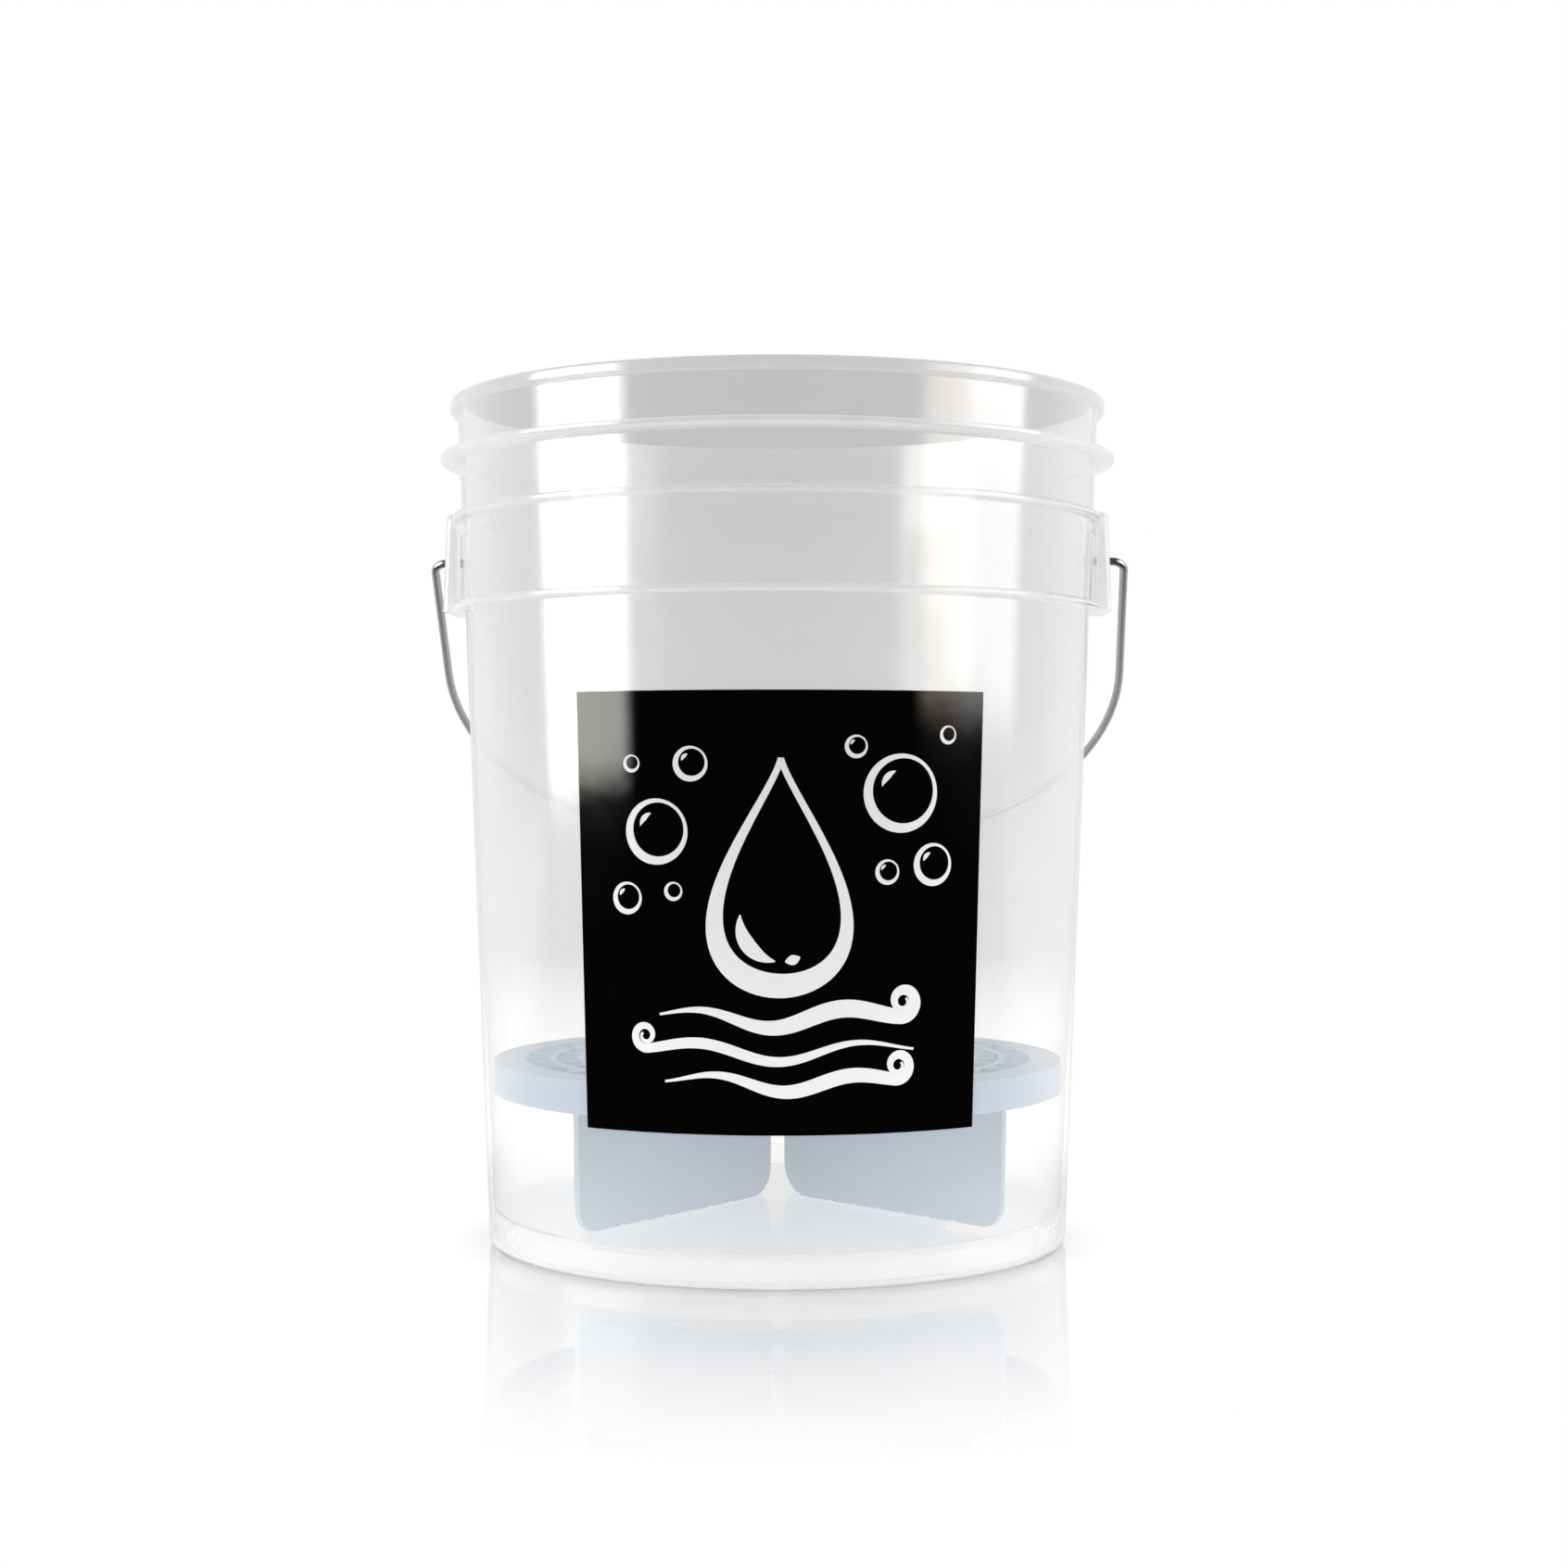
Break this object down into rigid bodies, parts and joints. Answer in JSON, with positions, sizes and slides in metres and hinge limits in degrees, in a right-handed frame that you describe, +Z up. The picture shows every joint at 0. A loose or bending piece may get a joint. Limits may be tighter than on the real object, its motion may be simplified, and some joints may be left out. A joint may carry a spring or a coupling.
{
  "type": "wash bucket",
  "caption": "Tall see-through plastic wash bucket with collar flanges, a swinging wire bail with a grip, a lift-out grid insert on vanes and a black front label.",
  "frame": {"origin": "centre of the base ring, on the surface that the bucket stands on", "axes": "+Z up along the bucket's axis, the label faces -Y, the bail ears are at -X and +X, the bail rests on the +Y side"},
  "size_m": [0.3316, 0.3198, 0.3857],
  "materials": {
    "shell_plastic": "milky see-through polypropylene, satin gloss",
    "label_vinyl": null,
    "bail_steel": "galvanised steel wire, dull bright",
    "grip_plastic": "white polypropylene, satin",
    "guard_plastic": "dark slate blue polypropylene, matte"
  },
  "bodies": {
    "bucket": {"bucket_shell": "shell_plastic", "front_label": "label_vinyl"},
    "bail": {"bail_wire": "bail_steel"},
    "grip": {"bail_grip": "grip_plastic"},
    "guard": {"grit_guard": "guard_plastic"}
  },
  "joints": [
    {"name": "bail_swing", "type": "hinge", "parent": "bucket", "child": "bail", "pos_m": [0, 0, 0.3136], "axis": [1, 0, 0], "range_deg": [0, 260.7]},
    {"name": "grip_spin", "type": "hinge", "parent": "bail", "child": "grip", "pos_m": [0, 0.15185, 0.18391], "axis": [1, 0, 0], "continuous": true},
    {"name": "guard_lift", "type": "slide", "parent": "bucket", "child": "guard", "axis": [0, 0, 1], "range_m": [0, 0.38]}
  ]
}
